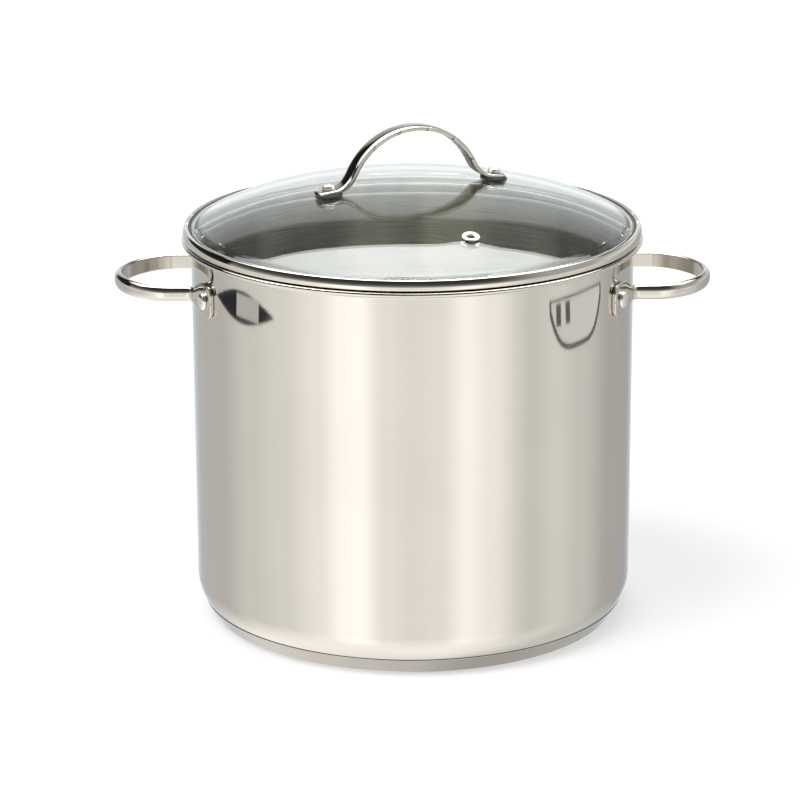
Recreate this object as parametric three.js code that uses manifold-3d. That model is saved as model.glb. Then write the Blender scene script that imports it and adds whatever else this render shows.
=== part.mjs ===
// A 28 cm stock pot with a domed glass lid. Millimetres, +Z up.
// The origin is the centre of the base, and +X points at the right handle.
import * as THREE from 'three';
import { mergeVertices } from 'three/addons/utils/BufferGeometryUtils.js';
import Module from 'manifold-3d';

const wasm = await Module();
wasm.setup();

// ---- Driving dimensions ----------------------------------------------------------------------

const GAP = 0.3; // clearance between pieces that touch
const AROUND = 40; // facets round the pot and the lid
const FITTING_STEPS = 16; // facets round a rivet, gasket or washer

// Shell
const WALL_R = 140; // outside radius of the straight wall
const WALL_T = 1.0; // sheet thickness
const FLOOR_Z = 8.5; // underside of the shell's flat floor
const SEAM_R = 136.0; // where the base cap's lip meets the shell
const SEAM_Z = 11.16;
const HEEL_R = 30; // radius of the curve between wall and seam
const LIP_R = 145.7; // outermost radius of the pouring rim
const LIP_Z = 246.5; // top of the pouring rim
const LIP_T = 3.0; // depth of the rolled rim

// Base
const BASE_R = 130; // radius of the ring that the pot stands on
const CAP_T = 0.7;

// Side handles
const HANDLE_Z = 218.3; // middle of the strap
const FOOT_Z = 219.2; // middle of the riveted foot
const RIVET_ANGLE = THREE.MathUtils.degToRad(25.1); // of each foot's rivet from the X axis
const FOOT_END = 9.5; // from a rivet to the end of its foot, along the wall
const LEG_Y = 38.6; // inside face of each straight leg
const LOOP_TIP_X = 184.6; // inside face of the loop's tip
const LOOP_START_X = 152;
const LOOP_POWER = 1.8; // below 2, a loop more pointed than an ellipse
const ELBOW_R = 9.5; // radius of the inside face at the elbow
const FOOT_T = 2.6;
const STRAP_T = 4.6;
const FOOT_HALF = 10.4; // half height of the foot
const LEG_HALF = 4.7; // half height of the strap by the foot
const TIP_HALF = 5.2; // half height of the strap at the tip

// Lid
const DOME_TOP = 279.3;
const DOME_A = 8.07e-4; // the dome is DOME_TOP - DOME_A r^2 - DOME_B r^4
const DOME_B = 2.59e-8;
const GLASS_T = 4;
const GLASS_R = 139.7;
const BAND_R = 145.1; // outermost radius of the lid's rim band
const BAND_FOOT_Z = LIP_Z + GAP; // underside of the band, which rests on the pot's rim
const CHANNEL_Z = 248; // floor of the channel that holds the glass
const SKIRT_R = 137.8; // the skirt that keeps the lid centred
const SKIRT_Z = 239.3;

// Lid handle
const GRIP_TURN = THREE.MathUtils.degToRad(23.2); // of the handle's plane from the X axis
const GRIP_RIVET = 56.6; // each rivet from the middle
const GRIP_END = 64.4; // each foot's end from the middle
const GRIP_R = 44; // radius of the arch's underside
const GRIP_TOP = 313.7; // underside of the arch at its highest
const GRIP_FOOT_Z = 278.2; // underside of each foot at its rivet
const GRIP_WIDTH = 13.5;
const GRIP_T = 3.3;
const GRIP_FOOT_T = 2.4;
const ARCH_END = THREE.MathUtils.degToRad(62); // where the arch turns into a straight leg

// Rivets, holes and lid fittings
const SIDE_SHANK_R = 2.9;
const SIDE_HEAD_R = 5.5;
const SIDE_HOLE_R = 3.3;
const INNER_HEAD_GAP = 0.75; // from the shell's inner face to a side rivet's inner head
const LID_SHANK_R = 2.5;
const LID_HEAD_R = 3.8;
const LID_HOLE_R = 3.0;
const GLASS_HOLE_R = 3.4;
const FOOT_GASKET_R = 8.6;
const UNDER_GASKET_R = 7.2;
const UNDER_GASKET_T = 1.9;
const WASHER_R = 7.4;
const WASHER_T = 1.2;

// Steam vent
const VENT_BORE_R = 2.2;
const VENT_HOLE_R = 4.5; // through the glass
const VENT_R = 103.4; // from the lid's axis
const VENT_ANGLE = THREE.MathUtils.degToRad(-70.3);

// ---- Materials -------------------------------------------------------------------------------

function metal(color, roughness) {
  return new THREE.MeshStandardMaterial({ color, roughness, metalness: 1 });
}

const brushed = () => metal(0xc9c5bd, 0.38);
const satin = () => metal(0xbfbbb2, 0.3);
const polished = () => metal(0xd6d2ca, 0.12);
const aluminium = () => metal(0xb9bcc0, 0.55);
const silicone = () => new THREE.MeshStandardMaterial({ color: 0x3a3d3a, roughness: 0.7 });
const clearGlass = () =>
  new THREE.MeshStandardMaterial({ color: 0xdfe8e4, roughness: 0.05, transparent: true, opacity: 0.35 });

// ---- Geometry helpers ------------------------------------------------------------------------

// Points on an arc in the (radius, height) plane. Angles are in degrees.
function arc(centreR, centreZ, radius, from, to, steps) {
  const points = [];
  for (let i = 0; i <= steps; i += 1) {
    const angle = THREE.MathUtils.degToRad(from + ((to - from) * i) / steps);
    points.push([centreR + radius * Math.cos(angle), centreZ + radius * Math.sin(angle)]);
  }
  return points;
}

// A solid of revolution about Z from a profile of [radius, height] pairs, run anticlockwise.
function turned(profile, segments = AROUND) {
  const points = profile.map(([r, z]) => new THREE.Vector2(r, z));
  return new THREE.LatheGeometry(points, segments).rotateX(Math.PI / 2);
}

// The same for a ring, whose profile closes on itself.
function turnedRing(profile, segments = AROUND) {
  return turned([...profile, profile[0]], segments);
}

// A solid that joins a row of closed rings of points, with a flat cap at each end.
function loft(rings) {
  const count = rings[0].length;
  const positions = rings.flat().flatMap((point) => point.toArray());
  const index = [];
  for (let i = 0; i < rings.length - 1; i += 1) {
    for (let j = 0; j < count; j += 1) {
      const a = i * count + j;
      const b = i * count + ((j + 1) % count);
      index.push(a, b, b + count, a, b + count, a + count);
    }
  }
  const last = (rings.length - 1) * count;
  for (let j = 1; j < count - 1; j += 1) {
    index.push(0, j + 1, j, last, last + j, last + j + 1);
  }
  const geometry = new THREE.BufferGeometry();
  geometry.setAttribute('position', new THREE.Float32BufferAttribute(positions, 3));
  geometry.setIndex(index);
  return geometry;
}

// A plain upright bar, for cutting a hole.
function drillBar(radius, length) {
  return new THREE.CylinderGeometry(radius, radius, length, 12).rotateX(Math.PI / 2);
}

function toManifold(geometry) {
  const bare = geometry.clone();
  bare.deleteAttribute('normal');
  bare.deleteAttribute('uv');
  const merged = mergeVertices(bare, 1e-4);
  const corners = merged.index.array;
  const kept = [];
  for (let i = 0; i < corners.length; i += 3) {
    const [a, b, c] = corners.subarray(i, i + 3);
    if (a !== b && b !== c && c !== a) {
      kept.push(a, b, c);
    }
  }
  const mesh = new wasm.Mesh({
    numProp: 3,
    vertProperties: new Float32Array(merged.attributes.position.array),
    triVerts: new Uint32Array(kept),
  });
  return new wasm.Manifold(mesh);
}

// One geometry with others cut out of it.
function cut(geometry, ...tools) {
  let solid = toManifold(geometry);
  for (const tool of tools) {
    solid = solid.subtract(toManifold(tool));
  }
  const { vertProperties, triVerts } = solid.getMesh();
  const result = new THREE.BufferGeometry();
  result.setAttribute('position', new THREE.BufferAttribute(vertProperties, 3));
  result.setIndex(new THREE.BufferAttribute(triVerts, 1));
  return result;
}

function smoothstep(x, from, to) {
  return THREE.MathUtils.smoothstep(x, from, to);
}

// ---- Shell and base --------------------------------------------------------------------------

// The heel leaves the wall upright and turns through this angle before the seam.
const HEEL_TURN = Math.acos(1 - (WALL_R - SEAM_R) / HEEL_R);
const HEEL_Z = SEAM_Z + HEEL_R * Math.sin(HEEL_TURN);
const CORNER_R = (SEAM_Z - FLOOR_Z) / (1 - Math.sin(HEEL_TURN));
const CORNER = [SEAM_R - CORNER_R * Math.cos(HEEL_TURN), SEAM_Z + CORNER_R * Math.sin(HEEL_TURN)];

// Outer heel and corner curve, from the floor up to the wall. An inset gives the inner face.
function heelCurve(inset) {
  const turn = THREE.MathUtils.radToDeg(HEEL_TURN);
  const corner = arc(CORNER[0], CORNER[1], CORNER_R - inset, -90, -turn, 2);
  const heel = arc(WALL_R - HEEL_R, HEEL_Z, HEEL_R - inset, -turn, 0, 3);
  return [...corner, ...heel.slice(1)];
}

function shellGeometry() {
  const lipMid = LIP_Z - LIP_T / 2;
  const neckZ = LIP_Z - LIP_T - 1.2;
  const innerR = WALL_R - WALL_T;
  const outside = [
    [0, FLOOR_Z],
    ...heelCurve(0),
    [WALL_R, neckZ],
    [WALL_R + 0.6, neckZ + 0.9],
    [WALL_R + 1.8, LIP_Z - LIP_T],
  ];
  const lip = arc(LIP_R - LIP_T / 2, lipMid, LIP_T / 2, -90, 90, 4);
  const mouth = [
    [innerR + 1.6, LIP_Z],
    [innerR + 0.3, LIP_Z - 0.6],
    [innerR, LIP_Z - 2],
  ];
  const inside = [...heelCurve(WALL_T).reverse(), [0, FLOOR_Z + WALL_T]];
  return turned([...outside, ...lip, ...mouth, ...inside]);
}

function baseCoreGeometry() {
  return turned([
    [0, CAP_T + GAP],
    [BASE_R - 1.5, CAP_T + GAP],
    [SEAM_R - 3, FLOOR_Z - GAP],
    [0, FLOOR_Z - GAP],
  ]);
}

function baseCapGeometry() {
  const lipZ = SEAM_Z - 0.6;
  return turned([
    [0, 0],
    [BASE_R - 0.9, 0],
    [BASE_R, 0.4],
    [SEAM_R - 0.7, lipZ - 1.1],
    [SEAM_R, lipZ],
    [SEAM_R - CAP_T, lipZ - 0.9],
    [BASE_R - 0.9, CAP_T],
    [0, CAP_T],
  ]);
}

// ---- Side handles ----------------------------------------------------------------------------

// The path of the handle's inside face, seen from above, from one foot to the loop's tip. Each
// station is { at, outward, run }: a point, the direction that the strap's thickness goes in,
// and the distance along the path.
function halfHandlePath() {
  const faceR = WALL_R + GAP;
  const pivotR = faceR + ELBOW_R;
  const elbowAngle = Math.asin((-LEG_Y - ELBOW_R) / pivotR);
  const footEnd = -RIVET_ANGLE - FOOT_END / faceR;
  const stations = [];
  const add = (x, y, heading) => {
    const outward = new THREE.Vector2(Math.sin(heading), -Math.cos(heading));
    const at = new THREE.Vector2(x, y);
    const before = stations.at(-1);
    stations.push({ at, outward, run: before ? before.run + at.distanceTo(before.at) : 0 });
  };
  // Round the wall. The first stations crowd together where the foot's end is rounded.
  for (const part of [0, 0.03, 0.1, 0.22, 0.42, 0.65, 0.85]) {
    const angle = THREE.MathUtils.lerp(footEnd, elbowAngle, part);
    add(faceR * Math.cos(angle), faceR * Math.sin(angle), angle + Math.PI / 2);
  }
  // Round the elbow, from along the wall to straight out along +X.
  const pivot = new THREE.Vector2(pivotR * Math.cos(elbowAngle), pivotR * Math.sin(elbowAngle));
  for (let i = 0; i <= 3; i += 1) {
    const heading = THREE.MathUtils.lerp(elbowAngle + Math.PI / 2, 0, i / 3);
    const x = pivot.x - ELBOW_R * Math.sin(heading);
    add(x, pivot.y + ELBOW_R * Math.cos(heading), heading);
  }
  // Round the loop: a quarter of a superellipse.
  const lengthX = LOOP_TIP_X - LOOP_START_X;
  for (let i = 0; i <= 7; i += 1) {
    const t = (Math.PI / 2) * (1 - i / 7);
    const c = Math.cos(t);
    const s = Math.sin(t);
    const x = LOOP_START_X + lengthX * c ** (2 / LOOP_POWER);
    const y = -LEG_Y * s ** (2 / LOOP_POWER);
    const normalX = c ** (2 - 2 / LOOP_POWER) / lengthX;
    const normalY = s ** (2 - 2 / LOOP_POWER) / LEG_Y;
    add(x, y, Math.atan2(normalX, normalY));
  }
  return stations;
}

// One section of the strap: flat inside, crowned outside, standing upright on the path.
function strapRing({ at, outward, run }, footLength, wholeLength) {
  const bend = smoothstep(run, footLength * 0.55, footLength * 1.15);
  const loop = smoothstep(run, footLength * 1.2, wholeLength);
  const thickness = THREE.MathUtils.lerp(FOOT_T, THREE.MathUtils.lerp(4.2, STRAP_T, loop), bend);
  const edge = THREE.MathUtils.lerp(FOOT_T - 0.5, 1.4, bend);
  const neck = smoothstep(run, footLength * 0.62, footLength * 1.55);
  const broad = THREE.MathUtils.lerp(FOOT_HALF, LEG_HALF, neck);
  const fromEnd = Math.min(run / 5.5, 1);
  const rounding = 0.4 + 0.6 * Math.sqrt(1 - (1 - fromEnd) ** 2);
  const half = THREE.MathUtils.lerp(broad, TIP_HALF, loop) * rounding;
  const middle = THREE.MathUtils.lerp(FOOT_Z, HANDLE_Z, neck);
  const ring = [];
  const place = (depth, height) => {
    const x = at.x + outward.x * depth;
    const y = at.y + outward.y * depth;
    ring.push(new THREE.Vector3(x, y, middle + height));
  };
  place(0, 0.9 * half);
  for (let i = 0; i <= 5; i += 1) {
    const angle = Math.PI * (0.5 - i / 5);
    place(edge + (thickness - edge) * Math.cos(angle), half * Math.sin(angle));
  }
  place(0, -0.9 * half);
  return ring;
}

function rightHandleGeometry() {
  const half = halfHandlePath();
  const footLength = half[6].run;
  const wholeLength = half.at(-1).run;
  const near = half.map((station) => strapRing(station, footLength, wholeLength));
  const mirror = (ring) => ring.map((point) => new THREE.Vector3(point.x, -point.y, point.z));
  const far = near.slice(0, -1).reverse().map(mirror);
  return loft([...near, ...far]);
}

// A bar at a side rivet's place, for cutting its hole. The angle is round the Z axis.
function rivetDrill(angle, radius) {
  return drillBar(radius, 30).rotateY(Math.PI / 2).translate(WALL_R, 0, FOOT_Z).rotateZ(angle);
}

// A rivet along +X, closed on both sides: a domed outer head, a shank and a low inner head.
function sideRivetGeometry() {
  const headSeat = WALL_R + GAP + FOOT_T + GAP;
  const innerSeat = WALL_R - WALL_T - INNER_HEAD_GAP;
  const profile = [
    [0, innerSeat - 2.0],
    [3.2, innerSeat - 1.75],
    [4.8, innerSeat - 0.9],
    [5.3, innerSeat],
    [SIDE_SHANK_R, innerSeat],
    [SIDE_SHANK_R, headSeat],
    [SIDE_HEAD_R, headSeat],
    [SIDE_HEAD_R, headSeat + 0.9],
    [4.7, headSeat + 1.9],
    [2.8, headSeat + 2.5],
    [0, headSeat + 2.7],
  ];
  return turned(profile, FITTING_STEPS).rotateY(Math.PI / 2).translate(0, 0, FOOT_Z);
}

// ---- Lid glass, band and seal ----------------------------------------------------------------

function domeZ(r) {
  return DOME_TOP - DOME_A * r ** 2 - DOME_B * r ** 4;
}

function domeSlope(r) {
  return 2 * DOME_A * r + 4 * DOME_B * r ** 3;
}

// Points on a surface parallel to the dome's outside, from the axis outwards.
function domeCurve(depth, toR, steps) {
  const points = [];
  for (let i = 0; i <= steps; i += 1) {
    const r = (toR * i) / steps;
    const slope = domeSlope(r);
    const length = Math.hypot(1, slope);
    points.push([r - (depth * slope) / length, domeZ(r) - depth / length]);
  }
  return points;
}

function glassGeometry() {
  const under = domeCurve(GLASS_T, 137.5, 8);
  const over = domeCurve(0, 138.4, 8).reverse();
  const footZ = CHANNEL_Z + 1.8;
  const edge = [
    [136.4, footZ],
    [138.8, footZ],
    [GLASS_R, footZ + 0.9],
    [GLASS_R, domeZ(GLASS_R) - 1.0],
    [139.3, domeZ(139.3) - 0.25],
  ];
  const blank = turned([...under, ...edge, ...over]);
  const rivetHoles = [-1, 1].map((side) =>
    atRivet(drillBar(GLASS_HOLE_R, 40), side).rotateZ(GRIP_TURN),
  );
  return cut(blank, ...rivetHoles, onDome(drillBar(VENT_HOLE_R, 30)));
}

function bandGeometry() {
  const wallIn = GLASS_R + 1.6;
  return turnedRing([
    [SKIRT_R - 1.0, SKIRT_Z + 0.4],
    [SKIRT_R - 0.4, SKIRT_Z],
    [SKIRT_R, SKIRT_Z + 0.6],
    [SKIRT_R, BAND_FOOT_Z],
    [BAND_R - 1.9, BAND_FOOT_Z],
    [BAND_R - 0.8, BAND_FOOT_Z + 0.4],
    [BAND_R - 0.1, BAND_FOOT_Z + 1.5],
    [BAND_R, BAND_FOOT_Z + 3.1],
    [BAND_R - 0.5, BAND_FOOT_Z + 4.7],
    [BAND_R - 1.6, BAND_FOOT_Z + 6.2],
    [BAND_R - 2.8, BAND_FOOT_Z + 7.1],
    [BAND_R - 3.5, BAND_FOOT_Z + 7.1],
    [wallIn, BAND_FOOT_Z + 6.5],
    [wallIn, CHANNEL_Z],
    [SKIRT_R - 1.0, CHANNEL_Z],
  ]);
}

function rimSealGeometry() {
  const sideIn = GLASS_R + GAP;
  const sideOut = GLASS_R + 1.3;
  const floorZ = CHANNEL_Z + GAP;
  return turnedRing([
    [SKIRT_R - 0.8, floorZ],
    [sideOut, floorZ],
    [sideOut, BAND_FOOT_Z + 6.2],
    [sideIn, BAND_FOOT_Z + 6.2],
    [sideIn, floorZ + 1.2],
    [SKIRT_R - 0.8, floorZ + 1.2],
  ]);
}

// ---- Lid handle ------------------------------------------------------------------------------

// The feet lie along the dome, tilted by this much.
const FOOT_TILT = Math.atan(domeSlope(GRIP_RIVET));

// Puts a geometry made about the origin at a rivet, square to its foot. The side is -1 or 1. The
// origin goes to the middle of the foot's underside.
function atRivet(geometry, side) {
  return geometry.rotateY(side * FOOT_TILT).translate(side * GRIP_RIVET, 0, GRIP_FOOT_Z);
}

// The underside of the strap in the handle's own plane, from the top of the arch out to the end
// of one foot. Each station is { at, out, foot }: a point [along, z], the direction that the
// thickness goes in, and how far the section has turned from strap into foot.
function halfGripPath() {
  const stations = [];
  const centreZ = GRIP_TOP - GRIP_R;
  const add = (x, z, tilt, foot) => {
    const out = new THREE.Vector2(Math.sin(tilt), Math.cos(tilt));
    stations.push({ at: new THREE.Vector2(x, z), out, foot });
  };
  for (let i = 0; i <= 6; i += 1) {
    const tilt = (ARCH_END * i) / 6;
    add(GRIP_R * Math.sin(tilt), centreZ + GRIP_R * Math.cos(tilt), tilt, 0);
  }
  const last = stations.at(-1).at;
  const footSlope = Math.tan(FOOT_TILT);
  const bendR = 16; // of the underside, which is the outside of this bend
  const bendX = bendR * (Math.sin(ARCH_END) - Math.sin(FOOT_TILT));
  const bendZ = bendR * (Math.cos(FOOT_TILT) - Math.cos(ARCH_END));
  const toFoot = last.y - bendZ - GRIP_FOOT_Z + (last.x + bendX - GRIP_RIVET) * footSlope;
  const straight = toFoot / (Math.sin(ARCH_END) - Math.cos(ARCH_END) * footSlope);
  const startX = last.x + straight * Math.cos(ARCH_END);
  const startZ = last.y - straight * Math.sin(ARCH_END);
  for (let i = 1; i <= 4; i += 1) {
    const tilt = THREE.MathUtils.lerp(ARCH_END, FOOT_TILT, i / 4);
    const x = startX + bendR * (Math.sin(ARCH_END) - Math.sin(tilt));
    const z = startZ - bendR * (Math.cos(tilt) - Math.cos(ARCH_END));
    add(x, z, tilt, smoothstep(i, 1, 4));
  }
  const bendEnd = stations.at(-1).at.x;
  for (const part of [0.6, 0.87, 1]) {
    const x = THREE.MathUtils.lerp(bendEnd, GRIP_END, part);
    add(x, GRIP_FOOT_Z - (x - GRIP_RIVET) * footSlope, FOOT_TILT, 1);
  }
  return stations;
}

// One section of the grip: flat underneath, nearly flat on top.
function gripRing({ at, out, foot }) {
  const thickness = THREE.MathUtils.lerp(GRIP_T, GRIP_FOOT_T, foot);
  const edge = THREE.MathUtils.lerp(2.3, GRIP_FOOT_T - 0.5, foot);
  const fromEnd = Math.min((GRIP_END - at.x) / 2.6, 1);
  const rounding = 0.72 + 0.28 * Math.sqrt(1 - (1 - fromEnd) ** 2);
  const half = (GRIP_WIDTH / 2) * rounding;
  const ring = [];
  const place = (depth, side) => {
    ring.push(new THREE.Vector3(at.x + out.x * depth, side, at.y + out.y * depth));
  };
  place(0, -0.92 * half);
  place(0, 0.92 * half);
  for (let i = 0; i <= 5; i += 1) {
    const angle = Math.PI * (0.5 - i / 5);
    place(edge + (thickness - edge) * Math.cos(angle), half * Math.sin(angle));
  }
  return ring;
}

function gripGeometry() {
  const near = halfGripPath().map(gripRing);
  const mirror = (ring) => ring.map((point) => new THREE.Vector3(-point.x, point.y, point.z));
  const far = near.slice(1).reverse().map(mirror);
  const strap = loft([...far, ...near]);
  return cut(strap, ...[-1, 1].map((side) => atRivet(drillBar(LID_HOLE_R, 12), side)));
}

// The fittings below are made about a rivet's axis, with the foot's underside at height 0.

const GLASS_OUT = (domeZ(GRIP_RIVET) - GRIP_FOOT_Z) * Math.cos(FOOT_TILT);
const GLASS_IN = GLASS_OUT - GLASS_T;
const UNDER_GASKET_FOOT = GLASS_IN - UNDER_GASKET_T;
const WASHER_TOP = UNDER_GASKET_FOOT - GAP;
const WASHER_FOOT = WASHER_TOP - WASHER_T;

function footGasketGeometry() {
  const foot = GLASS_OUT + GAP;
  const profile = [
    [LID_HOLE_R, foot],
    [FOOT_GASKET_R, foot],
    [FOOT_GASKET_R, -GAP - 0.4],
    [FOOT_GASKET_R - 0.4, -GAP],
    [LID_HOLE_R, -GAP],
  ];
  return turnedRing(profile, FITTING_STEPS);
}

function underGasketGeometry() {
  const top = GLASS_IN - GAP;
  const profile = [
    [LID_HOLE_R, UNDER_GASKET_FOOT],
    [UNDER_GASKET_R, UNDER_GASKET_FOOT],
    [UNDER_GASKET_R, top],
    [LID_HOLE_R, top],
  ];
  return turnedRing(profile, FITTING_STEPS);
}

function backingWasherGeometry() {
  const profile = [
    [LID_SHANK_R + 0.4, WASHER_FOOT],
    [WASHER_R - 0.4, WASHER_FOOT],
    [WASHER_R, WASHER_FOOT + 0.4],
    [WASHER_R, WASHER_TOP],
    [LID_SHANK_R + 0.4, WASHER_TOP],
  ];
  return turnedRing(profile, FITTING_STEPS);
}

function lidRivetGeometry() {
  const headSeat = GRIP_FOOT_T + GAP;
  const tailSeat = WASHER_FOOT - GAP;
  const profile = [
    [0, tailSeat - 2.0],
    [3.0, tailSeat - 1.7],
    [4.2, tailSeat - 0.8],
    [4.3, tailSeat],
    [LID_SHANK_R, tailSeat],
    [LID_SHANK_R, headSeat],
    [LID_HEAD_R, headSeat],
    [LID_HEAD_R, headSeat + 1.4],
    [3.3, headSeat + 2.3],
    [2.0, headSeat + 2.8],
    [0, headSeat + 3.0],
  ];
  return turned(profile, FITTING_STEPS);
}

// ---- Steam vent ------------------------------------------------------------------------------

// Puts a geometry made about the origin onto the dome at the vent, square to the glass.
function onDome(geometry) {
  const tilt = Math.atan(domeSlope(VENT_R));
  return geometry.rotateY(tilt).translate(VENT_R, 0, domeZ(VENT_R)).rotateZ(VENT_ANGLE);
}

function eyeletGeometry() {
  const profile = [
    [VENT_BORE_R, -6.5],
    [4.2, -6.5],
    [4.6, -6.1],
    [3.2, -5.8],
    [3.2, 0.95],
    [5.3, 0.95],
    [5.75, 1.35],
    [5.5, 1.8],
    [4.4, 2.1],
    [3.2, 2.0],
    [VENT_BORE_R + 0.2, 1.6],
    [VENT_BORE_R, 1.0],
  ];
  return onDome(turnedRing(profile, 18));
}

function ventGrommetGeometry() {
  const profile = [
    [3.5, -3.6],
    [4.1, -3.6],
    [4.1, 0.3],
    [5.0, 0.3],
    [5.0, 0.7],
    [3.5, 0.7],
  ];
  return onDome(turnedRing(profile, FITTING_STEPS));
}

function ventWasherGeometry() {
  const profile = [
    [3.5, -5.5],
    [5.8, -5.5],
    [5.8, -4.6],
    [3.5, -4.6],
  ];
  return onDome(turnedRing(profile, FITTING_STEPS));
}

// ---- Assembly --------------------------------------------------------------------------------

const stockPot = new THREE.Group();
const potBody = new THREE.Group();
const lid = new THREE.Group();
stockPot.add(potBody, lid);

function addPiece(group, name, geometry, material) {
  const mesh = new THREE.Mesh(geometry, material);
  mesh.name = name;
  group.add(mesh);
  return mesh;
}

const RIVET_PLACES = {
  right_front: -RIVET_ANGLE,
  right_back: RIVET_ANGLE,
  left_front: Math.PI + RIVET_ANGLE,
  left_back: Math.PI - RIVET_ANGLE,
};
const drillAt = (angle) => rivetDrill(angle, SIDE_HOLE_R);
const shellDrills = Object.values(RIVET_PLACES).map(drillAt);
const handleDrills = [-RIVET_ANGLE, RIVET_ANGLE].map(drillAt);

addPiece(potBody, 'pot_body', cut(shellGeometry(), ...shellDrills), brushed());
addPiece(potBody, 'base_core', baseCoreGeometry(), aluminium());
addPiece(potBody, 'base_cap', baseCapGeometry(), satin());
const handleShape = cut(rightHandleGeometry(), ...handleDrills);
addPiece(potBody, 'right_handle', handleShape, polished());
addPiece(potBody, 'left_handle', handleShape.clone(), polished()).rotation.z = Math.PI;
for (const [place, angle] of Object.entries(RIVET_PLACES)) {
  addPiece(potBody, `${place}_rivet`, sideRivetGeometry(), polished()).rotation.z = angle;
}

addPiece(lid, 'lid_glass', glassGeometry(), clearGlass());
addPiece(lid, 'lid_rim', bandGeometry(), satin());
addPiece(lid, 'rim_seal', rimSealGeometry(), silicone());
addPiece(lid, 'vent_eyelet', eyeletGeometry(), polished());
addPiece(lid, 'vent_grommet', ventGrommetGeometry(), silicone());
addPiece(lid, 'vent_washer', ventWasherGeometry(), satin());

const grip = new THREE.Group();
grip.rotation.z = GRIP_TURN;
lid.add(grip);
addPiece(grip, 'lid_handle', gripGeometry(), polished());
for (const [name, side] of [['left', -1], ['right', 1]]) {
  addPiece(grip, `${name}_foot_gasket`, atRivet(footGasketGeometry(), side), silicone());
  addPiece(grip, `${name}_under_gasket`, atRivet(underGasketGeometry(), side), silicone());
  addPiece(grip, `${name}_backing_washer`, atRivet(backingWasherGeometry(), side), satin());
  addPiece(grip, `lid_${name}_rivet`, atRivet(lidRivetGeometry(), side), polished());
}

export default stockPot;
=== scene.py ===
"""A stainless steel stock pot with a domed glass lid, on a pale studio floor."""

import math

import bpy
from mathutils import Matrix, Vector


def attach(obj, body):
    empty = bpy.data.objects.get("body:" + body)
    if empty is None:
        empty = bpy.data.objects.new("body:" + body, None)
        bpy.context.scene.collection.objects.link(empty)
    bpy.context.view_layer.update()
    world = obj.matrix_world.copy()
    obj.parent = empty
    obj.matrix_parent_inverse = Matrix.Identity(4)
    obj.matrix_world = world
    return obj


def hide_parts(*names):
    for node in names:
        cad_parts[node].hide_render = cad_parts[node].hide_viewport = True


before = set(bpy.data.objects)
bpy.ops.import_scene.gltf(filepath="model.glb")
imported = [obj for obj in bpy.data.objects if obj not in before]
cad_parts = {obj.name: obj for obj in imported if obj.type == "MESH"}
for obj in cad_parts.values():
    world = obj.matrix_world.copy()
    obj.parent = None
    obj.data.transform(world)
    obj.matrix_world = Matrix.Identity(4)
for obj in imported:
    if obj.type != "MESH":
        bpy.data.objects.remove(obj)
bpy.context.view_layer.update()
MM = 0.001

# ---- Dimensions, in millimetres ---------------------------------------------------------------

AROUND = 256  # facets round the pot and the lid

WALL_R, WALL_T, FLOOR_Z = 140.0, 1.0, 8.5
SEAM_R, SEAM_Z, HEEL_R = 136.0, 11.16, 30.0
LIP_R, LIP_Z, LIP_T = 145.7, 246.5, 3.0
BASE_R = 130.0

HANDLE_Z, FOOT_Z = 218.3, 219.2
RIVET_ANGLE = math.radians(25.1)
FOOT_END, FOOT_CORNER = 9.5, 5.5  # from a rivet to its foot's end, and the rounding there
LEG_Y = 38.6
LOOP_TIP_X, LOOP_START_X, LOOP_POWER = 184.6, 152.0, 1.8
ELBOW_R, FOOT_T, STRAP_T = 9.5, 2.6, 4.6
FOOT_HALF, LEG_HALF, TIP_HALF = 10.4, 4.7, 5.2
GAP = 0.3
SUPPORT = 0.2  # from the end of a flat stretch to the edge loop that keeps it flat

DOME_TOP, DOME_A, DOME_B = 279.3, 8.07e-4, 2.59e-8
GLASS_T, GLASS_R = 4.0, 139.7
BAND_R, SKIRT_R, SKIRT_Z = 145.1, 137.8, 239.3
BAND_FOOT_Z = LIP_Z + GAP
CHANNEL_Z = 248.0

GRIP_TURN = math.radians(23.2)
GRIP_RIVET, GRIP_END, GRIP_R, GRIP_TOP = 56.6, 64.4, 44.0, 313.7
GRIP_FOOT_Z, GRIP_WIDTH, GRIP_T, GRIP_FOOT_T = 278.2, 13.5, 3.3, 2.4
ARCH_END = math.radians(62)

SIDE_SHANK_R, SIDE_HEAD_R, SIDE_TAIL_R = 2.9, 5.5, 5.3
LID_SHANK_R, LID_HEAD_R, LID_TAIL_R = 2.5, 3.8, 4.3
LID_HOLE_R, GLASS_HOLE_R = 3.0, 3.4
FOOT_GASKET_R, UNDER_GASKET_R, UNDER_GASKET_T = 8.6, 7.2, 1.9
WASHER_HOLE_R, WASHER_R, WASHER_T = 2.9, 7.4, 1.2

VENT_R, VENT_ANGLE = 103.4, math.radians(-70.3)
VENT_BORE_R, VENT_HOLE_R = 2.2, 4.5  # of the eyelet, and of the hole through the glass
BOSS_H, BOSS_R = 0.45, 12.0  # the glass swells a little round the vent


# ---- Mesh helpers -----------------------------------------------------------------------------


def lerp(a, b, t):
    return a + (b - a) * t


def smoothstep(x, lo, hi):
    t = min(max((x - lo) / (hi - lo), 0.0), 1.0)
    return t * t * (3 - 2 * t)


def arc(centre_r, centre_z, radius, start, end, steps):
    """Points on an arc in the (radius, height) plane. Angles are in degrees."""
    points = []
    for i in range(steps + 1):
        angle = math.radians(lerp(start, end, i / steps))
        points.append((centre_r + radius * math.cos(angle), centre_z + radius * math.sin(angle)))
    return points


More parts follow.
